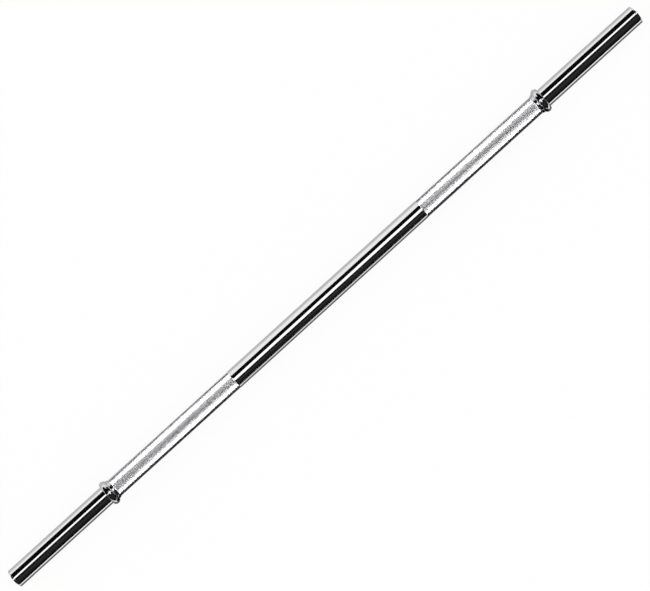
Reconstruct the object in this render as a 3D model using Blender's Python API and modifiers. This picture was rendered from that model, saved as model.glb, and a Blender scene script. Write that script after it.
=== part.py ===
# Standard barbell: one turned and knurled steel bar with a fixed stop collar near each end.
# A split ring in a groove of the bar backs each collar, and a blind pin locks the collar to the bar.
# Metres, +Z up. The bar lies along X with its middle at the origin, and the pins enter from below.

import math

import bmesh
import bpy

# Bar
BAR_LENGTH = 1.200
SLEEVE_LENGTH = 0.180  # from the bar's end to the collar's plate face
CENTRE_LENGTH = 0.361  # smooth stretch between the two grips
CENTRE_OFFSET = 0.005  # how far the middle of the smooth stretch lies from the middle of the bar
SLEEVE_DIAMETER = 0.0292
GRIP_DIAMETER = 0.0294  # over the crests of the knurl
CENTRE_DIAMETER = 0.0300
END_FACE_DIAMETER = 0.009  # flat spot in the middle of each crowned end
END_ROUND_LENGTH = 0.0034  # how far along the bar each end is rounded
END_ROUND_POWER = 1.6  # 2 is an ellipse, 1 is a straight chamfer

# Stop collars
COLLAR_WIDTH = 0.0104
COLLAR_WALL = 0.0049  # from the bore to the top of the crowned rim
COLLAR_LAND = 0.0017  # flat ring of each face, between the bore and the rim
COLLAR_RIM_POWER = 1.5  # 2 is half an ellipse, 1 is two straight bevels

# Backing rings
RING_WIDTH = 0.0040
RING_WALL = 0.0028  # beside the collar, where the ring is thickest
RING_TAPER = 0.0014  # how much lower the rim is on the side of the grip
RING_RIM_POWER = 1.4  # 2 is a quarter of an ellipse, 1 is a straight bevel
RING_SPLIT = 0.003  # opening of the split, on the underside
GROOVE_DEPTH = 0.0015

# Locking pins
PIN_DIAMETER = 0.004
PIN_SEAT_DEPTH = 0.008  # how deep the pin goes into the bar
PIN_RECESS = 0.0006  # how far the pin's outer end lies under the collar's rim
PIN_CHAMFER = 0.0004

# Between any two pieces that touch on the real bar
FIT_GAP = 0.0003

# Smoothness
BAR_SIDES = 48
PIN_SIDES = 24
END_STEPS = 8
COLLAR_STEPS = 12
RING_STEPS = 6
SHARP_ANGLE = math.radians(25)
MERGE_DISTANCE = 0.00001
CUT_MARGIN = 0.001  # how far a cutter runs past what it cuts

# Places and radii that follow from the sizes above
END_X = BAR_LENGTH / 2
PLATE_FACE_X = END_X - SLEEVE_LENGTH
SLEEVE_RADIUS = SLEEVE_DIAMETER / 2
GROOVE_RADIUS = SLEEVE_RADIUS - GROOVE_DEPTH
COLLAR_BORE_RADIUS = SLEEVE_RADIUS + FIT_GAP
COLLAR_RADIUS = COLLAR_BORE_RADIUS + COLLAR_WALL
RING_BORE_RADIUS = GROOVE_RADIUS + FIT_GAP
RING_RADIUS = RING_BORE_RADIUS + RING_WALL
RING_FACE_X = -COLLAR_WIDTH - FIT_GAP  # from the plate face, towards the middle
PIN_X = -COLLAR_WIDTH / 2  # from the plate face, towards the middle
PIN_HOLE_RADIUS = PIN_DIAMETER / 2 + FIT_GAP
PIN_FOOT_RADIUS = SLEEVE_RADIUS - PIN_SEAT_DEPTH
PIN_LENGTH = COLLAR_RADIUS - PIN_RECESS - PIN_FOOT_RADIUS


def clear_scene():
    for obj in list(bpy.data.objects):
        bpy.data.objects.remove(obj, do_unlink=True)


def new_collection(name):
    collection = bpy.data.collections.new(name)
    bpy.context.scene.collection.children.link(collection)
    return collection


def metal(name, colour, roughness):
    """Bare or plated steel: a Principled metal."""
    material = bpy.data.materials.new(name)
    material.use_nodes = True
    shader = material.node_tree.nodes["Principled BSDF"]
    shader.inputs["Base Color"].default_value = (*colour, 1.0)
    shader.inputs["Metallic"].default_value = 1.0
    shader.inputs["Roughness"].default_value = roughness
    return material


def place(obj, collection, parent=None, location=(0, 0, 0), rotation=(0, 0, 0)):
    collection.objects.link(obj)
    obj.parent = parent
    obj.location = location
    obj.rotation_euler = rotation
    return obj


def turned(name, profile, closed, sides, material):
    """A piece turned about its own X axis. The profile holds (x, radius) pairs. It starts half a facet
    off the top, so that a flat and not a corner faces each way along Y and Z."""
    half_facet = math.pi / sides
    points = [(x, r * math.sin(half_facet), r * math.cos(half_facet)) for x, r in profile]
    edges = [(i, i + 1) for i in range(len(points) - 1)]
    if closed:
        edges.append((len(points) - 1, 0))
    mesh = bpy.data.meshes.new(name)
    mesh.from_pydata(points, edges, [])
    mesh.materials.append(material)
    obj = bpy.data.objects.new(name, mesh)
    screw = obj.modifiers.new("turning", "SCREW")
    screw.axis = "X"
    screw.steps = sides
    screw.render_steps = sides
    screw.use_merge_vertices = True
    screw.merge_threshold = MERGE_DISTANCE
    return obj


def cut(obj, cutter):
    boolean = obj.modifiers.new("cut by " + cutter.name, "BOOLEAN")
    boolean.operation = "DIFFERENCE"
    boolean.solver = "EXACT"
    boolean.object = cutter


def settle(obj):
    """Applies the modifiers, then shades the round faces smooth and keeps the turned corners sharp."""
    graph = bpy.context.evaluated_depsgraph_get()
    rough = obj.data
    mesh = bpy.data.meshes.new_from_object(obj.evaluated_get(graph))
    obj.modifiers.clear()
    obj.data = mesh
    bpy.data.meshes.remove(rough)
    mesh.name = obj.name
    mesh.shade_smooth()
    mesh.set_sharp_from_angle(angle=SHARP_ANGLE)


def cutter_object(name, build, collection, parent, location):
    """A helper that build(bm) shapes, hidden from renders and shown as wire."""
    bm = bmesh.new()
    build(bm)
    mesh = bpy.data.meshes.new(name)
    bm.to_mesh(mesh)
    bm.free()
    obj = place(bpy.data.objects.new(name, mesh), collection, parent, location)
    obj.hide_render = True
    obj.display_type = "WIRE"
    return obj


def end_curve():
    """The crowned end of the bar, from its flat spot out to the sleeve: a superellipse."""
    flat = END_FACE_DIAMETER / 2
    points = []
    for i in range(END_STEPS + 1):
        angle = math.pi / 2 * i / END_STEPS
        out = math.sin(angle) ** (2 / END_ROUND_POWER)
        back = 1 - max(math.cos(angle), 0.0) ** (2 / END_ROUND_POWER)
        points.append((END_X - END_ROUND_LENGTH * back, flat + (SLEEVE_RADIUS - flat) * out))
    return points


def collar_rim():
    """Half a superellipse over the collar's rim, from its plate face to the face beside the ring."""
    land_radius = COLLAR_BORE_RADIUS + COLLAR_LAND
    points = []
    for i in range(COLLAR_STEPS + 1):
        angle = math.pi * i / COLLAR_STEPS
        along = math.copysign(abs(math.cos(angle)) ** (2 / COLLAR_RIM_POWER), math.cos(angle))
        out = math.sin(angle) ** (2 / COLLAR_RIM_POWER)
        points.append((-COLLAR_WIDTH / 2 * (1 - along), land_radius + (COLLAR_RADIUS - land_radius) * out))
    return points


def ring_rim():
    """A quarter of a superellipse that falls from the collar's side of the ring to the grip's side."""
    points = []
    for i in range(RING_STEPS + 1):
        angle = math.pi / 2 * i / RING_STEPS
        back = math.sin(angle) ** (2 / RING_RIM_POWER)
        out = max(math.cos(angle), 0.0) ** (2 / RING_RIM_POWER)
        points.append((-RING_WIDTH * back, RING_RADIUS - RING_TAPER * (1 - out)))
    return points


def outline_to_centre(centre_end):
    """The bar's outline from one crowned end in to the smooth centre, which starts at centre_end."""
    groove_outer = PLATE_FACE_X + RING_FACE_X + FIT_GAP
    groove_inner = PLATE_FACE_X + RING_FACE_X - RING_WIDTH - FIT_GAP
    outline = [(END_X, 0.0), *end_curve()]
    outline += [(groove_outer, SLEEVE_RADIUS), (groove_outer, GROOVE_RADIUS)]
    outline += [(groove_inner, GROOVE_RADIUS), (groove_inner, GRIP_DIAMETER / 2)]
    outline += [(centre_end, GRIP_DIAMETER / 2), (centre_end, CENTRE_DIAMETER / 2)]
    return outline


def make_bar(material, collection):
    """One rod: crowned ends, smooth sleeves, a groove for each backing ring, grips, smooth centre."""
    right = outline_to_centre(CENTRE_LENGTH / 2 + CENTRE_OFFSET)
    left = outline_to_centre(CENTRE_LENGTH / 2 - CENTRE_OFFSET)
    profile = right + [(-x, r) for x, r in reversed(left)]
    return place(turned("bar", profile, False, BAR_SIDES, material), collection)


def make_collar(side, seat, material, collection):
    """A turned ring with a flat plate face and a crowned rim, bored to slide over the sleeve."""
    profile = [(0, COLLAR_BORE_RADIUS), *collar_rim(), (-COLLAR_WIDTH, COLLAR_BORE_RADIUS)]
    collar = turned("stop_collar_" + side, profile, True, BAR_SIDES, material)
    return place(collar, collection, seat)


def make_ring(side, seat, material, collection):
    """A tapered ring that sits in the bar's groove, behind the collar."""
    profile = [(0, RING_BORE_RADIUS), *ring_rim(), (-RING_WIDTH, RING_BORE_RADIUS)]
    ring = turned("backing_ring_" + side, profile, True, BAR_SIDES, material)
    return place(ring, collection, seat, (RING_FACE_X, 0, 0))


def make_pin(side, seat, material, collection):
    """A dowel pin with chamfered ends. Its own X axis points down, out of the bar."""
    radius = PIN_DIAMETER / 2
    foot = [(0, 0), (0, radius - PIN_CHAMFER), (PIN_CHAMFER, radius)]
    profile = [(PIN_LENGTH - x, r) for x, r in foot] + list(reversed(foot))
    pin = turned("locking_pin_" + side, profile, False, PIN_SIDES, material)
    return place(pin, collection, seat, (PIN_X, 0, -PIN_FOOT_RADIUS), (0, math.pi / 2, 0))


def pin_hole(side, seat, collection):
    """The blind hole through the collar into the bar, with the fit gap under the pin's foot."""
    deep = PIN_FOOT_RADIUS - FIT_GAP
    far = COLLAR_RADIUS + CUT_MARGIN

    def build(bm):
        bmesh.ops.create_cone(
            bm,
            cap_ends=True,
            segments=PIN_SIDES,
            radius1=PIN_HOLE_RADIUS,
            radius2=PIN_HOLE_RADIUS,
            depth=far - deep,
        )

    middle = (PIN_X, 0, -(far + deep) / 2)
    return cutter_object("pin_hole_" + side, build, collection, seat, middle)


def ring_split(side, seat, collection):
    """The box that opens the backing ring on its underside."""
    width = RING_WIDTH + 2 * CUT_MARGIN
    height = RING_RADIUS + CUT_MARGIN

    def build(bm):
        bmesh.ops.create_cube(bm, size=1.0)
        bmesh.ops.scale(bm, vec=(width, RING_SPLIT, height), verts=bm.verts)

    middle = (RING_FACE_X - RING_WIDTH / 2, 0, -height / 2)
    return cutter_object("ring_split_" + side, build, collection, seat, middle)


def build_barbell():
    clear_scene()
    parts = new_collection("standard_barbell")
    cutters = new_collection("cutters")
    chrome = metal("bright chrome plate", (0.78, 0.79, 0.80), 0.08)
    collar_chrome = metal("chrome plate on turned collar", (0.74, 0.75, 0.76), 0.12)
    ring_steel = metal("chrome plate on split ring", (0.70, 0.71, 0.72), 0.16)
    pin_steel = metal("ground pin steel", (0.55, 0.55, 0.56), 0.35)

    bar = make_bar(chrome, parts)
    pieces = [bar]
    for side, sign in (("left", -1), ("right", 1)):
        seat = bpy.data.objects.new("collar_seat_" + side, None)
        place(seat, parts, None, (sign * PLATE_FACE_X, 0, 0), (0, 0, math.pi * (sign < 0)))
        collar = make_collar(side, seat, collar_chrome, parts)
        ring = make_ring(side, seat, ring_steel, parts)
        pin = make_pin(side, seat, pin_steel, parts)
        hole = pin_hole(side, seat, cutters)
        cut(bar, hole)
        cut(collar, hole)
        cut(ring, ring_split(side, seat, cutters))
        pieces += [collar, ring, pin]
    bpy.context.view_layer.update()
    for piece in pieces:
        settle(piece)


build_barbell()
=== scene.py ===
import math

import bpy
import numpy as np
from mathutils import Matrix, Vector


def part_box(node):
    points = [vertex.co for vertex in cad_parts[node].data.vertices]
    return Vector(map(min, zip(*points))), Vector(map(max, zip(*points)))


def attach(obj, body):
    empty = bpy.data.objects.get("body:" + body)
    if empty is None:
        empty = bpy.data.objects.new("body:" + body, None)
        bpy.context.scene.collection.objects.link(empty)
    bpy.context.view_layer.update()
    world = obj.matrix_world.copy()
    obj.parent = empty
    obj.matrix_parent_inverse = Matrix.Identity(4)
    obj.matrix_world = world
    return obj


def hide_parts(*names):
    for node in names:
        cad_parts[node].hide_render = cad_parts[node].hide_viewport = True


# A chromed weight bar, seen square from above on a white floor.
# Metres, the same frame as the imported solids: the bar lies along X and the pins enter from below.
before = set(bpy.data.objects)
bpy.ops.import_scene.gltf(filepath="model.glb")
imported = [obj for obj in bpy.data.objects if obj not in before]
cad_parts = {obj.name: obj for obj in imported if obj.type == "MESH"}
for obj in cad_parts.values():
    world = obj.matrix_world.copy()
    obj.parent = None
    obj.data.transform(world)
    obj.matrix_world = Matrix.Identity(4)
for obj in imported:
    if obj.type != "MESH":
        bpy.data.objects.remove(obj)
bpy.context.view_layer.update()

halves = (("left", -1), ("right", 1))    # of the bar, with the sign of their X


# Helpers

def linearFromHex(code):
    # sRGB hex to the linear numbers that Blender's sockets hold
    parts = [int(code[i:i + 2], 16) / 255 for i in (1, 3, 5)]
    return tuple(c / 12.92 if c <= 0.04045 else ((c + 0.055) / 1.055) ** 2.4 for c in parts) + (1.0,)


def newMaterial(name):
    material = bpy.data.materials.new(name)
    material.use_nodes = True
    material.node_tree.nodes.clear()
    return material, material.node_tree


def addNode(tree, kind, inputs=None, **settings):
    # one node with its settings, whose inputs are values or other nodes' outputs
    node = tree.nodes.new(kind)
    for key, value in settings.items():
        setattr(node, key, value)
    for key, value in (inputs or {}).items():
        if isinstance(value, bpy.types.NodeSocket):
            tree.links.new(value, node.inputs[key])
        else:
            node.inputs[key].default_value = value
    return node


def shadeSmooth(mesh, sharpAngle):
    # smooth shading, with the edges past this angle in degrees kept sharp
    mesh.shade_smooth()
    mesh.set_sharp_from_angle(angle=math.radians(sharpAngle))


def addPointValues(mesh, name, values):
    # one number for each point, which a material can read by its name
    attribute = mesh.attributes.new(name, "FLOAT", "POINT")
    attribute.data.foreach_set("value", np.ravel(values).astype(np.float32))


def meshPiece(name, points, faces, material, sharpAngle=None):
    # points and faces are whole arrays; faces may be a list of arrays of different widths
    groups = faces if isinstance(faces, list) else [faces]
    mesh = bpy.data.meshes.new(name)
    mesh.from_pydata(points.tolist(), [], [face for group in groups for face in group.tolist()])
    mesh.materials.append(material)
    if sharpAngle is not None:
        shadeSmooth(mesh, sharpAngle)
    piece = bpy.data.objects.new(name, mesh)
    bpy.context.scene.collection.objects.link(piece)
    return piece


def gridFaces(rows, columns, wrapRows=False, wrapColumns=False):
    # the quads between neighbouring rows and columns of a grid of points, closed round where it wraps
    r = np.arange(rows if wrapRows else rows - 1)[:, None]
    c = np.arange(columns if wrapColumns else columns - 1)[None, :]
    r1, c1 = (r + 1) % rows, (c + 1) % columns
    corners = (r * columns + c, r1 * columns + c, r1 * columns + c1, r * columns + c1)
    return np.stack(np.broadcast_arrays(*corners), -1).reshape(-1, 4)


def rideBar(piece, slot, *nodes):
    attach(piece, "root")
    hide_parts(*nodes)
    return piece


def applyModifiers(piece):
    graph = bpy.context.evaluated_depsgraph_get()
    mesh = bpy.data.meshes.new_from_object(piece.evaluated_get(graph))
    rough = piece.data
    piece.modifiers.clear()
    piece.data = mesh
    bpy.data.meshes.remove(rough)
    mesh.name = piece.name


# Materials of the bar

noiseLow, noiseHigh = 0.3, 0.7    # where most values of a noise texture lie

chromeLook = {
    "bright": "#EFEFF0", "dull": "#E6E6E8",
    "roughness": (0.05, 0.10),
    "roughnessSpread": (0.1, 0.45),    # where most values of two noises multiplied lie
    "polishPitch": 0.0006,     # belt marks; really about 0.05 mm, drawn coarser so that they show
    "polishLength": 0.025,     # of one mark
    "polishDepth": 0.0000015,
    "waveLength": 0.030,       # the ground rod's slow waviness
    "waveSqueeze": 2,          # and how much shorter its waves are round the bar
    "waveDepth": 0.00004,
    "smudgeSize": 1 / 70,
}


def polishedChromePlate():
    # Decorative chrome over nickel on a ground and belt-polished rod: near-mirror, with faint marks
    # round the bar and slow waves that make the edges of a reflection waver.
    look = chromeLook
    material, tree = newMaterial("polished chrome plate")
    place = addNode(tree, "ShaderNodeTexCoord").outputs["Object"]
    markScale = (1 / look["polishPitch"], 1 / look["polishLength"], 1 / look["polishLength"])
    marks = addNode(tree, "ShaderNodeMapping", {"Vector": place, "Scale": markScale})
    fine = addNode(tree, "ShaderNodeTexNoise",
                   {"Vector": marks.outputs["Vector"], "Scale": 1.0, "Detail": 2.0})
    slow = addNode(tree, "ShaderNodeMapping",
                   {"Vector": place, "Scale": (1, look["waveSqueeze"], look["waveSqueeze"])})
    wave = addNode(tree, "ShaderNodeTexNoise",
                   {"Vector": slow.outputs["Vector"], "Scale": 1 / look["waveLength"], "Detail": 1.0})
    smudge = addNode(tree, "ShaderNodeTexNoise",
                     {"Vector": place, "Scale": 1 / look["smudgeSize"], "Detail": 3.0})
    colour = addNode(tree, "ShaderNodeMix",
                     {"Factor": smudge.outputs["Fac"],
                      "A": linearFromHex(look["bright"]), "B": linearFromHex(look["dull"])},
                     data_type="RGBA")
    both = addNode(tree, "ShaderNodeMath",
                   {0: fine.outputs["Fac"], 1: smudge.outputs["Fac"]}, operation="MULTIPLY")
    rough = addNode(tree, "ShaderNodeMapRange",
                    {"Value": both.outputs["Value"],
                     "From Min": look["roughnessSpread"][0], "From Max": look["roughnessSpread"][1],
                     "To Min": look["roughness"][0], "To Max": look["roughness"][1]})
    waves = addNode(tree, "ShaderNodeBump",
                    {"Height": wave.outputs["Fac"], "Strength": 1.0, "Distance": look["waveDepth"]})
    relief = addNode(tree, "ShaderNodeBump",
                     {"Height": fine.outputs["Fac"], "Strength": 1.0, "Distance": look["polishDepth"],
                      "Normal": waves.outputs["Normal"]})
    shader = addNode(tree, "ShaderNodeBsdfPrincipled",
                     {"Base Color": colour.outputs["Result"], "Metallic": 1.0,
                      "Roughness": rough.outputs["Result"], "Normal": relief.outputs["Normal"]})
    addNode(tree, "ShaderNodeOutputMaterial", {"Surface": shader.outputs["BSDF"]})
    return material


knurlLook = {
    # the groove colour is painted shade in the grooves, together with their dust and thin plating
    "crest": "#F2F2F2", "grooveShadeAndDust": "#CCCCCE",
    "roughness": (0.26, 0.20),   # in the grooves, on the crests
    "grain": 0.003,              # blotches where the crests are more or less worn
    "wear": (0.75, 1.15),        # the finish takes the crests in a blotch as this much lower or higher
}


def knurledChromePlate():
    # The same plate over a rolled diamond knurl: each facet mirrors another way, so it sparkles white.
    # The grooves are painted darker: partly painted shade where shade falls in them, partly the dust
    # and thin plating that sit there.
    look = knurlLook
    material, tree = newMaterial("chrome plate on rolled knurl")
    crest = addNode(tree, "ShaderNodeAttribute", attribute_name="crestHeight", attribute_type="GEOMETRY")
    place = addNode(tree, "ShaderNodeTexCoord").outputs["Object"]
    blotch = addNode(tree, "ShaderNodeTexNoise",
                     {"Vector": place, "Scale": 1 / look["grain"], "Detail": 3.0})
    worn = addNode(tree, "ShaderNodeMapRange",
                   {"Value": blotch.outputs["Fac"], "From Min": noiseLow, "From Max": noiseHigh,
                    "To Min": look["wear"][0], "To Max": look["wear"][1]})
    height = addNode(tree, "ShaderNodeMath",
                     {0: crest.outputs["Fac"], 1: worn.outputs["Result"]},
                     operation="MULTIPLY", use_clamp=True)
    # darker towards the grooves: painted shade, with dust and thin plating there too
    colour = addNode(tree, "ShaderNodeMix",
                     {"Factor": height.outputs["Value"],
                      "A": linearFromHex(look["grooveShadeAndDust"]), "B": linearFromHex(look["crest"])},
                     data_type="RGBA")
    rough = addNode(tree, "ShaderNodeMapRange",
                    {"Value": height.outputs["Value"],
                     "To Min": look["roughness"][0], "To Max": look["roughness"][1]})
    shader = addNode(tree, "ShaderNodeBsdfPrincipled",
                     {"Base Color": colour.outputs["Result"], "Metallic": 1.0,
                      "Roughness": rough.outputs["Result"]})
    addNode(tree, "ShaderNodeOutputMaterial", {"Surface": shader.outputs["BSDF"]})
    return material


turnedLook = {
    "bright": "#EEEEEF", "dull": "#DFDFE2",
    "roughness": (0.07, 0.15),
    "toolPitch": 0.0005,     # turning marks; really about 0.1 mm a turn, drawn coarser so that they show
    "toolLength": 0.05,      # of one mark
    "toolDepth": 0.000004,
    "smudgeSize": 1 / 180,
}

# the same turning, a little duller and with deeper, closer marks
splitRingLook = {
    **turnedLook,
    "bright": "#E6E6E8", "dull": "#D2D2D6",
    "roughness": (0.09, 0.18),
    "toolPitch": 0.0004,
    "toolDepth": 0.000005,
}


def turnedChromePlate(name, look):
    # The plate over a ring turned on a lathe: bright, with fine rings of tool marks round its axis.
    material, tree = newMaterial(name)
    place = addNode(tree, "ShaderNodeTexCoord").outputs["Object"]
    markScale = (1 / look["toolPitch"], 1 / look["toolLength"], 1 / look["toolLength"])
    rings = addNode(tree, "ShaderNodeMapping", {"Vector": place, "Scale": markScale})
    tool = addNode(tree, "ShaderNodeTexNoise",
                   {"Vector": rings.outputs["Vector"], "Scale": 1.0, "Detail": 1.0})
    smudge = addNode(tree, "ShaderNodeTexNoise",
                     {"Vector": place, "Scale": 1 / look["smudgeSize"], "Detail": 3.0})
    colour = addNode(tree, "ShaderNodeMix",
                     {"Factor": smudge.outputs["Fac"],
                      "A": linearFromHex(look["bright"]), "B": linearFromHex(look["dull"])},
                     data_type="RGBA")
    rough = addNode(tree, "ShaderNodeMapRange",
                    {"Value": tool.outputs["Fac"], "From Min": noiseLow, "From Max": noiseHigh,
                     "To Min": look["roughness"][0], "To Max": look["roughness"][1]})
    relief = addNode(tree, "ShaderNodeBump",
                     {"Height": tool.outputs["Fac"], "Strength": 1.0, "Distance": look["toolDepth"]})
    shader = addNode(tree, "ShaderNodeBsdfPrincipled",
                     {"Base Color": colour.outputs["Result"], "Metallic": 1.0,
                      "Roughness": rough.outputs["Result"], "Normal": relief.outputs["Normal"]})
    addNode(tree, "ShaderNodeOutputMaterial", {"Surface": shader.outputs["BSDF"]})
    return material


pinLook = {
    "bright": "#B9B9BC", "dull": "#9A9A9E",
    "roughness": (0.28, 0.42),
    "grindPitch": 0.0003,    # grinding marks round the pin
    "grindLength": 1 / 60,   # of one mark
    "grindDepth": 0.000002,
}


def groundPinSteel():
    # Hardened dowel pin, ground and left bare: darker than the plate, satin, with marks round the pin.
    look = pinLook
    material, tree = newMaterial("ground pin steel")
    place = addNode(tree, "ShaderNodeTexCoord").outputs["Object"]
    markScale = (1 / look["grindLength"], 1 / look["grindLength"], 1 / look["grindPitch"])
    lines = addNode(tree, "ShaderNodeMapping", {"Vector": place, "Scale": markScale})
    grind = addNode(tree, "ShaderNodeTexNoise",
                    {"Vector": lines.outputs["Vector"], "Scale": 1.0, "Detail": 2.0})
    colour = addNode(tree, "ShaderNodeMix",
                     {"Factor": grind.outputs["Fac"],
                      "A": linearFromHex(look["bright"]), "B": linearFromHex(look["dull"])},
                     data_type="RGBA")
    rough = addNode(tree, "ShaderNodeMapRange",
                    {"Value": grind.outputs["Fac"], "From Min": noiseLow, "From Max": noiseHigh,
                     "To Min": look["roughness"][0], "To Max": look["roughness"][1]})
    relief = addNode(tree, "ShaderNodeBump",
                     {"Height": grind.outputs["Fac"], "Strength": 1.0, "Distance": look["grindDepth"]})
    shader = addNode(tree, "ShaderNodeBsdfPrincipled",
                     {"Base Color": colour.outputs["Result"], "Metallic": 1.0,
                      "Roughness": rough.outputs["Result"], "Normal": relief.outputs["Normal"]})
    addNode(tree, "ShaderNodeOutputMaterial", {"Surface": shader.outputs["BSDF"]})
    return material


barChrome = polishedChromePlate()
gripChrome = knurledChromePlate()
collarChrome = turnedChromePlate("chrome plate on turned collar", turnedLook)
ringChrome = turnedChromePlate("chrome plate on split ring", splitRingLook)
pinSteel = groundPinSteel()
print("materials: 5 finishes of the bar")


# Turned pieces

def turnedPoints(profile, sides):
    # a profile of (x, radius) carried round the X axis: each point is (x, r sin a, r cos a)
    angle = 2 * np.pi * np.arange(sides) / sides
    x, r = profile[:, :1], profile[:, 1:]
    return np.stack(np.broadcast_arrays(x, r * np.sin(angle), r * np.cos(angle)), -1)


def roundedCorner(cornerX, cornerR, cutX, cutR, steps=5):
    # a quarter ellipse in place of the sharp corner (x, r), from (x, r - cutR) to (x - cutX, r);
    # a negative cut turns it the other way
    t = np.linspace(0, np.pi / 2, steps)
    return np.column_stack([cornerX - cutX * (1 - np.cos(t)), cornerR - cutR * (1 - np.sin(t))])


rodSizes = {
    "endX": 0.600, "faceRadius": 0.0045, "roundLength": 0.0034, "roundPower": 1.6, "roundSteps": 28,
    "sleeveRadius": 0.0146,
    "grooveX": (0.4096, 0.4050), "grooveRadius": 0.0131,
    "coreRadius": 0.01345,       # under the knurl
    "centreX": {"right": 0.1855, "left": 0.1755}, "centreRadius": 0.0150, "edgeBreak": 0.00025,
    "guard": 0.00015,            # loops this close to a corner keep its shading off the long plain stretches
    "sides": 192, "sharpAngle": 25,
}


def makeRod():
    # The rod's outline, from the flat spot on its right end to the smooth centre, then back out on the left.
    # The crowned end is a superellipse: out to the power 2/p of the sine, back to that of the cosine.
    s = rodSizes
    t = np.linspace(0, np.pi / 2, s["roundSteps"] + 1)
    power = 2 / s["roundPower"]
    out, back = np.sin(t) ** power, 1 - np.clip(np.cos(t), 0, 1) ** power
    crown = np.column_stack([s["endX"] - s["roundLength"] * back,
                             s["faceRadius"] + (s["sleeveRadius"] - s["faceRadius"]) * out])
    outer, inner = s["grooveX"]

    def half(centreX):
        groove = np.array([(crown[-1, 0] - s["guard"], s["sleeveRadius"]), (outer, s["sleeveRadius"]),
                           (outer, s["grooveRadius"]), (inner, s["grooveRadius"]),
                           (inner, s["coreRadius"]), (centreX, s["coreRadius"])])
        corner = roundedCorner(centreX, s["centreRadius"], s["edgeBreak"], s["edgeBreak"])
        return np.vstack([crown, groove, corner, corner[-1] - (s["guard"], 0)])

    profile = np.vstack([half(s["centreX"]["right"]), half(s["centreX"]["left"])[::-1] * (-1, 1)])
    loops = turnedPoints(profile, s["sides"])
    rows, sides = loops.shape[:2]
    points = np.vstack([loops.reshape(-1, 3), [(s["endX"], 0, 0), (-s["endX"], 0, 0)]])
    around = np.arange(sides)
    after = (around + 1) % sides
    lastLoop = (rows - 1) * sides
    rightCap = np.column_stack([np.full(sides, rows * sides), after, around])
    leftCap = np.column_stack([np.full(sides, rows * sides + 1), lastLoop + around, lastLoop + after])
    faces = [gridFaces(rows, sides, wrapColumns=True), rightCap, leftCap]
    rod = meshPiece("rod", points, faces, barChrome, s["sharpAngle"])
    return rideBar(rod, "bar_chrome", "bar")


rod = makeRod()
print("rod: sleeves, grooves and smooth centre,", len(rod.data.polygons), "faces")


# Knurled grips

knurlSizes = {
    "x": {"right": (0.1856, 0.4049), "left": (0.1756, 0.4049)}, "crestRadius": 0.0147, "depth": 0.00032,
    "boreRadius": 0.0135,
    "cellsRound": 96,        # diamonds 0.96 mm wide round the bar
    "cellsAlong": 133,       # 1.65 mm long on the right, 1.72 on the left; grooves at about 30 degrees
}

gripLit = bpy.data.collections.new("pieces that the grip lights light")    # filled here, used by the cards


def makeGrip(side, sign):
    # The height over the grooves is the smaller of two triangle waves, one along each set of helical
    # grooves: min(d(u+v), d(u-v)), with u and v in cells round and along, and d twice the distance to a
    # whole number. Two samples a cell hold it exactly: a crest and a crossing of two grooves take turns.
    s = knurlSizes
    columns, rows = 2 * s["cellsRound"], 2 * s["cellsAlong"] + 1
    u, v = np.meshgrid(np.arange(columns) / 2, np.arange(rows) / 2)

    def rise(w):
        return 2 * np.abs(w - np.round(w))

    height = np.minimum(rise(u + v), rise(u - v))
    x0, x1 = s["x"][side]
    x = x0 + (x1 - x0) * v / s["cellsAlong"]
    height[[0, -1]] = 1.0            # the grooves run out at the two ends
    radius = s["crestRadius"] - s["depth"] * (1 - height)
    angle = 2 * np.pi * u / s["cellsRound"]
    outer = np.stack([sign * x, radius * np.sin(angle), radius * np.cos(angle)], -1)
    bore = np.array([(sign * x1, s["boreRadius"]), (sign * x0, s["boreRadius"])])
    inner = turnedPoints(bore, columns)
    points = np.vstack([outer.reshape(-1, 3), inner.reshape(-1, 3)])
    quads = gridFaces(rows + len(bore), columns, wrapRows=True, wrapColumns=True)
    # each quad is split along the groove between two crests
    level = np.append(height.ravel(), np.zeros(inner.shape[0] * columns))
    a, b, c, d = level[quads].T
    first = a + c < b + d
    p0, p1, p2, p3 = quads.T
    triangles = np.vstack([np.column_stack([p0, p1, np.where(first, p2, p3)]),
                           np.column_stack([np.where(first, p0, p1), p2, p3])])
    if sign > 0:
        triangles = triangles[:, ::-1]
    grip = meshPiece("knurled_grip_" + side, points, triangles, gripChrome)
    addPointValues(grip.data, "crestHeight", np.append(height.ravel(), np.ones(inner.shape[0] * columns)))
    gripLit.objects.link(grip)
    return rideBar(grip, "bar_chrome", "bar")


for side, sign in halves:
    grip = makeGrip(side, sign)
    print("grip", side, len(grip.data.polygons), "facets")


# Stop collars, each with the hole that its locking pin sits in

drillSizes = {
    "radius": 0.00205, "mouthRadius": 0.0023,
    "mouthDepths": (0.0005, 0.0002),    # under the rim, where the slope to the wider mouth starts and ends
    "tip": 0.008, "overrun": 0.003,     # from the bar's axis to the tip, and how far it stands out of the rim
    "sides": 48,
}


def holeCutter(x, top):
    # a straight drill with a wider mouth, pointing up: loops of one radius each, from its tip downwards
    s = drillSizes
    sides = s["sides"]
    slopeStart, slopeEnd = s["mouthDepths"]
    radius = np.array([s["radius"], s["radius"], s["mouthRadius"], s["mouthRadius"]])[:, None]
    height = -np.array([s["tip"], top - slopeStart, top - slopeEnd, top + s["overrun"]])[:, None]
    angle = 2 * np.pi * np.arange(sides) / sides
    rings = np.stack(np.broadcast_arrays(x + radius * np.cos(angle), radius * np.sin(angle), height), -1)
    caps = [np.arange(sides)[None, :], np.arange(sides)[None, ::-1] + (len(radius) - 1) * sides]
    walls = gridFaces(len(radius), sides, wrapColumns=True)
    return meshPiece("drill", rings.reshape(-1, 3), [walls, *caps], collarChrome)


collarSizes = {
    "faceX": 0.420, "width": 0.0104, "boreRadius": 0.0147, "landRadius": 0.0166, "power": 1.5,
    "steps": 56, "sides": 192, "sharpAngle": 28,
}


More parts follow.
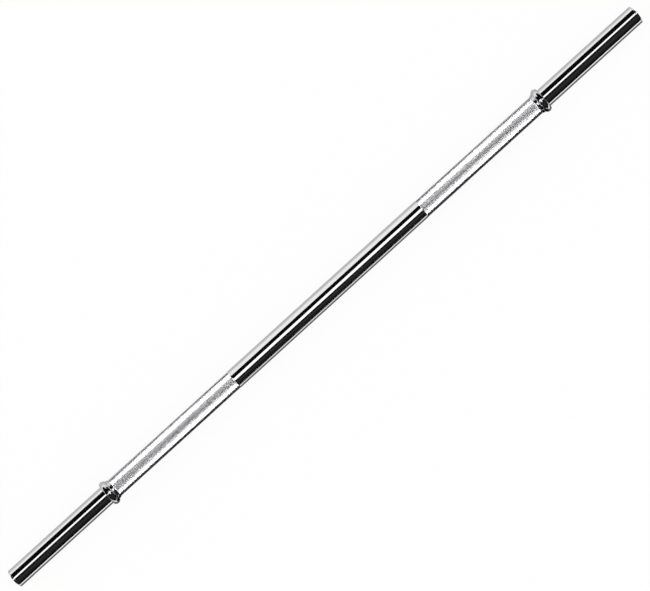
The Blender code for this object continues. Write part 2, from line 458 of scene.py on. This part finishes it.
def makeCollar(side, sign):
    # The rim is half a superellipse over the collar's width, risen from the flat ring round the bore.
    s = collarSizes
    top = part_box("stop_collar_" + side)[1].y
    land = s["landRadius"]
    t = np.linspace(0, np.pi, s["steps"] + 1)
    power = 2 / s["power"]
    x = -s["width"] / 2 * (1 - np.sign(np.cos(t)) * np.abs(np.cos(t)) ** power)
    rim = np.column_stack([x, land + (top - land) * np.clip(np.sin(t), 0, 1) ** power])
    profile = np.vstack([[(0, s["boreRadius"])], rim, [(-s["width"], s["boreRadius"])]])
    profile[:, 0] = sign * (s["faceX"] + profile[:, 0])
    points = turnedPoints(profile, s["sides"])
    quads = gridFaces(*points.shape[:2], wrapRows=True, wrapColumns=True)
    if sign < 0:
        quads = quads[:, ::-1]
    collar = meshPiece("collar_" + side, points.reshape(-1, 3), quads, collarChrome)
    cutter = holeCutter(sign * (s["faceX"] - s["width"] / 2), top)
    hole = collar.modifiers.new("pin hole", "BOOLEAN")
    hole.operation, hole.solver, hole.object = "DIFFERENCE", "EXACT", cutter
    applyModifiers(collar)
    bpy.data.objects.remove(cutter)
    shadeSmooth(collar.data, s["sharpAngle"])
    return rideBar(collar, "collar_chrome", "stop_collar_" + side)


# Split backing rings

ringSizes = {
    "boreRadius": 0.0133, "taper": 0.0014, "power": 1.4, "edgeBreak": 0.0003, "split": 0.003,
    "steps": 30, "columns": 241, "sharpAngle": 28,
}


def makeRing(side, sign):
    # A tapered ring, open at the bottom. Its rim is a quarter of a superellipse that falls from the collar's
    # side to the grip's. It runs round from one face of the split to the other, and each point stops at
    # the angle where it meets that flat face.
    s = ringSizes
    low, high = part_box("backing_ring_" + side)
    top, width = high.y, high.x - low.x
    outer = high.x if sign > 0 else low.x
    power = 2 / s["power"]
    t = np.linspace(0, np.pi / 2, s["steps"] + 1)
    along = width * np.sin(t) ** power
    rim = np.column_stack([along, top - s["taper"] * (1 - np.clip(np.cos(t), 0, 1) ** power)])
    rim = np.vstack([roundedCorner(0, top, -s["edgeBreak"], s["edgeBreak"]), rim[along > s["edgeBreak"]]])
    profile = np.vstack([[(0, s["boreRadius"])], rim, [(width, s["boreRadius"])]])
    r = profile[:, 1:]
    start = np.arcsin(s["split"] / 2 / r)
    angle = np.pi + start + (2 * np.pi - 2 * start) * np.linspace(0, 1, s["columns"])
    x = outer - sign * profile[:, :1]
    points = np.stack(np.broadcast_arrays(x, r * np.sin(angle), r * np.cos(angle)), -1)
    rows, columns = points.shape[:2]
    quads = gridFaces(rows, columns, wrapRows=True)
    ends = [np.arange(rows)[None, :] * columns, np.arange(rows)[None, ::-1] * columns + columns - 1]
    faces = [quads, *ends]
    if sign < 0:
        faces = [group[:, ::-1] for group in faces]
    ring = meshPiece("split_ring_" + side, points.reshape(-1, 3), faces, ringChrome, s["sharpAngle"])
    return rideBar(ring, "ring_chrome", "backing_ring_" + side)


for side, sign in halves:
    makeCollar(side, sign)
    makeRing(side, sign)
    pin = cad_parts["locking_pin_" + side]
    pin.data.materials.clear()
    pin.data.materials.append(pinSteel)
    print("collar, split ring and pin", side)


# Floor

stageLook = {
    "floorZ": -0.0198, "floorSize": 40.0, "floorColour": "#F7F7F7",
    "whiteShare": 0.93,      # of the floor's look that is plain white to the eye and in the metal
    "stripLift": 0.0002,     # of the strips that lie on it
    "patchLift": 0.0003,     # of the patches before the bar's ends
}


def makeFloor():
    s = stageLook
    material, tree = newMaterial("matt white paper floor")
    material.cycles.emission_sampling = "NONE"    # its white is for the eye and the metal, and lights nothing
    path = addNode(tree, "ShaderNodeLightPath").outputs
    seen = addNode(tree, "ShaderNodeMath", {0: path["Is Camera Ray"], 1: path["Is Glossy Ray"]},
                   operation="MAXIMUM")
    seen = addNode(tree, "ShaderNodeMath", {0: seen.outputs["Value"], 1: path["Is Transmission Ray"]},
                   operation="MAXIMUM")
    share = addNode(tree, "ShaderNodeMath", {0: seen.outputs["Value"], 1: s["whiteShare"]},
                    operation="MULTIPLY")
    paper = addNode(tree, "ShaderNodeBsdfDiffuse", {"Color": linearFromHex(s["floorColour"])})
    white = addNode(tree, "ShaderNodeEmission", {"Color": (1, 1, 1, 1), "Strength": 1.0})
    mix = addNode(tree, "ShaderNodeMixShader",
                  {"Fac": share.outputs["Value"], 1: paper.outputs["BSDF"], 2: white.outputs["Emission"]})
    addNode(tree, "ShaderNodeOutputMaterial", {"Surface": mix.outputs["Shader"]})
    half, z = s["floorSize"] / 2, s["floorZ"]
    corners = np.array([(-half, -half, z), (half, -half, z), (half, half, z), (-half, half, z)])
    floor = meshPiece("floor", corners, np.array([[0, 1, 2, 3]]), material)


makeFloor()
print("floor: matt white")


# Studio cards that only reflections see

cameraView = {
    "distance": 12.0, "sensorWidth": 36.0, "metresPerPixel": 0.00142306,
    "imageWidth": 650, "imageHeight": 591,
    "barAngle": 42.264,           # of the bar over the horizontal in the picture
    "barMiddle": (325.3, 296.6),  # where the middle of the bar lies, in pixels from the upper left corner
}

farEnd = 20.0    # how far the longest cards run, in metres from the middle of the bar

cardSizes = {
    "radius": 1.0,
    "x": (0, 0.20, 0.235, 0.385, 0.44, 0.66, 0.70, 1.05, 1.10, farEnd),    # stops where the edges bend
    "grid": 31,
    "mottleScale": (60, 6, 6),    # blotches a metre along the bar and across it
}

# Each card has its two edges at every stop, as angles round the bar: 0 is straight up and + is towards the
# right-hand side (-Y). "light" is its strength, or its strengths at shares of the way from one edge to the
# other, and "span" is its stretch along the bar. A smooth piece mirrors one long white strip between two dark
# cards. The grip lights fill both sides of the strip and shine on the knurl alone, and every other piece
# sees them as dark. They are stronger than the room, to give back what the dark cards take from the knurl.
backEdge = (-52, -52, -76, -76, -68, -68, -80, -84, -88, -88)
gripStart = (-11, -11, -45, -45, -17, -17, -17, -17, -4, -4)
stripStart = (-11, -11, -10, -9, -17, -17, -5, -5, -4, -4)
stripEnd = (15, 15, 8, 3, -1, -1, 4, 4, 4, 4)
gripEnd = (15, 15, 28, 28, -1, -1, 15, 15, 4, 4)
frontEdge = (90, 90, 92, 93, 93, 93, 93, 93, 93, 93)
wholeSide, gripSide, farGripSide = (0, farEnd), (0.20, 0.44), (0.66, 1.10)
cards = {
    "dark_card_back": {"edges": (backEdge, gripStart), "light": 0.0035, "span": wholeSide},
    "dark_card_front": {"edges": (gripEnd, frontEdge), "span": wholeSide, "mottle": 0.5,
                        "light": ((0, 0.20, 0.37, 0.48, 0.62, 0.80, 1),
                                  (0.009, 0.010, 0.034, 0.016, 0.019, 0.0035, 0.003))},
    "white_strip": {"edges": (stripStart, stripEnd), "light": 1.35, "span": wholeSide},
    "grip_light_back": {"edges": (gripStart, stripStart), "light": 4.4, "span": gripSide,
                        "gripOnly": True},
    "grip_light_front": {"edges": (stripEnd, gripEnd), "light": 9.0, "span": gripSide,
                         "gripOnly": True},
    "far_grip_light_back": {"edges": (gripStart, stripStart), "light": 9.0, "span": farGripSide,
                            "gripOnly": True},
    "far_grip_light_front": {"edges": (stripEnd, gripEnd), "light": 9.0, "span": farGripSide,
                             "gripOnly": True},
}

# Strips that lie on the floor, from one distance beside the bar's axis to another, at every stop. Those next
# to the bar are a painted shadow of the bar on the floor, seen only in the metal: dark in front, and behind a
# grey that grows paler away from the bar. The one beside the grips is wider and darker than its neighbours,
# for the dark line along the knurl's lower edge.
# painted shadow of the bar on the floor in front of its smooth stretches
shadowBesideSmooth = {"edges": (-0.004, -0.073), "light": 0.14}
frontStart = (-0.16, -0.16, -0.2, -0.26, -0.28, -0.28, -0.28, -0.28, -0.28, -0.28)
floorStrips = {
    # painted shade on the floor behind the bar, darkest next to it
    "painted_shade_back": {"edges": (0.004, 0.9), "span": wholeSide,
                        "light": ((0, 0.03, 0.16, 1), (0.46, 0.53, 0.73, 0.95))},
    "painted_shadow_centre": {**shadowBesideSmooth, "span": (0, 0.19)},
    "painted_shadow_grip": {"edges": (-0.004, -0.16), "light": 0.0035, "span": (0.19, 0.405)},
    "painted_shadow_sleeve": {**shadowBesideSmooth, "span": (0.405, farEnd)},
    "dark_floor_front": {"edges": (frontStart, -1.0), "light": 0.0035, "span": wholeSide},
}


def cardMaterial(name, light, mottle):
    # an even light, or one in the card's own "shade" attribute, broken up by a soft cloud if it has a mottle
    material, tree = newMaterial(name.replace("_", " "))
    if light is None:
        shade = addNode(tree, "ShaderNodeAttribute", attribute_name="shade", attribute_type="GEOMETRY")
        light = shade.outputs["Fac"]
    if mottle:
        place = addNode(tree, "ShaderNodeTexCoord").outputs["Object"]
        blotches = addNode(tree, "ShaderNodeMapping",
                           {"Vector": place, "Scale": cardSizes["mottleScale"]})
        noise = addNode(tree, "ShaderNodeTexNoise",
                        {"Vector": blotches.outputs["Vector"], "Scale": 1.0, "Detail": 2.0})
        cloud = addNode(tree, "ShaderNodeMapRange",
                        {"Value": noise.outputs["Fac"], "From Min": noiseLow, "From Max": noiseHigh,
                         "To Min": 1 - mottle, "To Max": 1 + mottle})
        light = addNode(tree, "ShaderNodeMath", {0: light, 1: cloud.outputs["Result"]},
                        operation="MULTIPLY").outputs["Value"]
    glow = addNode(tree, "ShaderNodeEmission", {"Color": (1, 1, 1, 1), "Strength": light})
    addNode(tree, "ShaderNodeOutputMaterial", {"Surface": glow.outputs["Emission"]})
    return material


def glossyCard(name, points, light, mottle=0.0, gripOnly=False):
    # points is a grid, and light one strength or a grid of them; only reflections see the card
    rows, columns = points.shape[:2]
    even = np.ndim(light) == 0
    card = meshPiece(name, points.reshape(-1, 3), gridFaces(rows, columns),
                     cardMaterial(name, light if even else None, mottle))
    if not even:
        addPointValues(card.data, "shade", light)
    card.visible_camera = False
    card.visible_diffuse = False
    card.visible_transmission = False
    card.visible_volume_scatter = False
    card.visible_shadow = False
    card.data.materials[0].cycles.emission_sampling = "AUTO" if gripOnly else "NONE"
    if gripOnly:
        card.light_linking.receiver_collection = gripLit


def betweenEdges(card, sign):
    # on one side of the middle: a grid of x along the card, of a value between its two edges, and its light
    stops = np.array(cardSizes["x"])
    x = np.union1d(np.clip(stops, *card["span"]), card["span"])[:, None]
    low, high = (np.interp(x, stops, np.broadcast_to(edge, stops.shape)) for edge in card["edges"])
    share = np.linspace(0, 1, cardSizes["grid"])
    light = card["light"]
    if isinstance(light, tuple):
        share = np.union1d(share, light[0])
        light = np.broadcast_to(np.interp(share, *light), (len(x), share.size))
    value = low + (high - low) * share
    return np.broadcast_to(sign * x, value.shape), value, light


def makeCard(name, card, sign):
    # a curved strip on a cylinder round the bar: (x, -R sin a, R cos a), a between the card's two edges
    x, angle, light = betweenEdges(card, sign)
    angle, radius = np.radians(angle), cardSizes["radius"]
    points = np.stack([x, -radius * np.sin(angle), radius * np.cos(angle)], -1)
    glossyCard(name, points, light, card.get("mottle", 0), card.get("gripOnly", False))


def makeFloorStrip(name, strip, sign):
    # a flat strip just over the floor
    x, y, light = betweenEdges(strip, sign)
    z = np.full_like(x, stageLook["floorZ"] + stageLook["stripLift"])
    glossyCard(name, np.stack([x, y, z], -1), light)


patchSizes = {
    "turn": 62, "columns": 249,     # how far it goes round the end, in degrees each way, and its columns
    "rows": 61,
    "firstAngle": 0.02,             # of the outline, in radians from the flat spot
    "lastGap": 0.002,               # kept from the angle of the flattest ray
    "leastFall": 0.02,              # of that ray, as a share of its length
    "sleeveStop": 4,                # which of the cards' stops the sleeve's bands are taken from
    "reach": (-130, 124),           # the outermost angles of the bands
    "fade": 12, "step": 0.1,        # degrees over which the back fades, and one band gives way to the next
    "levels": (0.5, 0.9, 0.95, 0.004, 0.004, 1.3, 1.3, 0.012, 0.008, 0.9, 0.5),
}


def makeEndPatch(side, sign):
    # The floor before one end, with the sleeve's bands on it. A point of the crowned end at the angle p
    # round the bar mirrors the camera's ray down to a place on the floor, and that place shines as the
    # bands do at 2p, which is what the sleeve mirrors at p. A ray mirrored by a normal that is tilted by b
    # and turned by p falls by 1 - 2 (cos b cos p)^2, and the rows stop where that is the least fall.
    s, patch = rodSizes, patchSizes
    turn = np.radians(np.linspace(-patch["turn"], patch["turn"], patch["columns"]))[None, :]
    power = 2 / s["roundPower"]
    width = s["sleeveRadius"] - s["faceRadius"]
    mostUpright = math.sqrt((1 - patch["leastFall"]) / 2)
    tilt = np.arccos(np.clip(mostUpright / np.cos(turn), 0, 1))
    first = patch["firstAngle"]
    last = np.arctan((s["roundLength"] * np.tan(tilt) / width) ** (1 / (2 - power)))
    last = np.pi / 2 - patch["lastGap"] - last
    t = first + (last - first) * (1 - np.linspace(1, 0, patch["rows"])[:, None] ** 2)
    r = s["faceRadius"] + width * np.sin(t) ** power
    x = s["endX"] - s["roundLength"] * (1 - np.cos(t) ** power)
    outward = width * np.sin(t) ** (power - 1) * np.cos(t)     # the two parts of the normal, not yet unit
    upward = s["roundLength"] * np.cos(t) ** (power - 1) * np.sin(t)
    size = np.hypot(outward, upward)
    outward, upward = outward / size, upward / size

    def vectors(along, across):
        parts = np.broadcast_arrays(sign * along, -across * np.sin(turn), across * np.cos(turn))
        return np.stack(parts, -1)

    point, normal = vectors(x, r), vectors(outward, upward)
    view = np.array((0, 0, cameraView["distance"])) - point
    view /= np.linalg.norm(view, axis=-1, keepdims=True)
    ray = 2 * (normal * view).sum(-1, keepdims=True) * normal - view
    fall = (stageLook["floorZ"] + stageLook["patchLift"] - point[..., 2:]) / ray[..., 2:]
    stop, step = patch["sleeveStop"], patch["step"]
    back, start, end, front = backEdge[stop], stripStart[stop], stripEnd[stop], frontEdge[stop]
    angles = (patch["reach"][0], back - patch["fade"], back, back + step, start, start + step,
              end, end + step, front, front + step, patch["reach"][1])
    shade = np.interp(2 * np.degrees(turn), angles, patch["levels"])
    glossyCard("end_patch_" + side, point + fall * ray, np.broadcast_to(shade, fall.shape[:2]))


for side, sign in halves:
    for name, card in cards.items():
        makeCard(name + "_" + side, card, sign)
    for name, strip in floorStrips.items():
        makeFloorStrip(name + "_" + side, strip, sign)
    makeEndPatch(side, sign)
print("cards:", len(halves) * (len(cards) + len(floorStrips) + 1))


# World and camera

def makeWorld():
    # an even white room, strength 1, so that a colour renders as it is written
    world = bpy.data.worlds.new("white room")
    world.use_nodes = True
    world.node_tree.nodes.clear()
    room = addNode(world.node_tree, "ShaderNodeBackground", {"Color": (1, 1, 1, 1), "Strength": 1.0})
    addNode(world.node_tree, "ShaderNodeOutputWorld", {"Surface": room.outputs["Background"]})
    world.cycles.sampling_method = "NONE"    # its light would otherwise be sampled through the cards
    bpy.context.scene.world = world


def makeCamera():
    # Straight above the bar. The bar's middle is shifted in the picture, so the camera moves as far the other
    # way, along the picture's own right and up.
    c = cameraView
    data = bpy.data.cameras.new("camera")
    data.sensor_width = c["sensorWidth"]
    data.lens = data.sensor_width * c["distance"] / (c["imageWidth"] * c["metresPerPixel"])
    camera = bpy.data.objects.new("camera", data)
    turn = -math.radians(c["barAngle"])
    right = c["metresPerPixel"] * (c["imageWidth"] / 2 - c["barMiddle"][0])
    up = c["metresPerPixel"] * (c["barMiddle"][1] - c["imageHeight"] / 2)
    camera.location = (right * math.cos(turn) - up * math.sin(turn),
                       right * math.sin(turn) + up * math.cos(turn), c["distance"])
    camera.rotation_euler = (0, 0, turn)
    bpy.context.scene.collection.objects.link(camera)
    bpy.context.scene.camera = camera


makeWorld()
makeCamera()
bpy.context.scene.view_settings.view_transform = "Standard"
print("world and camera")
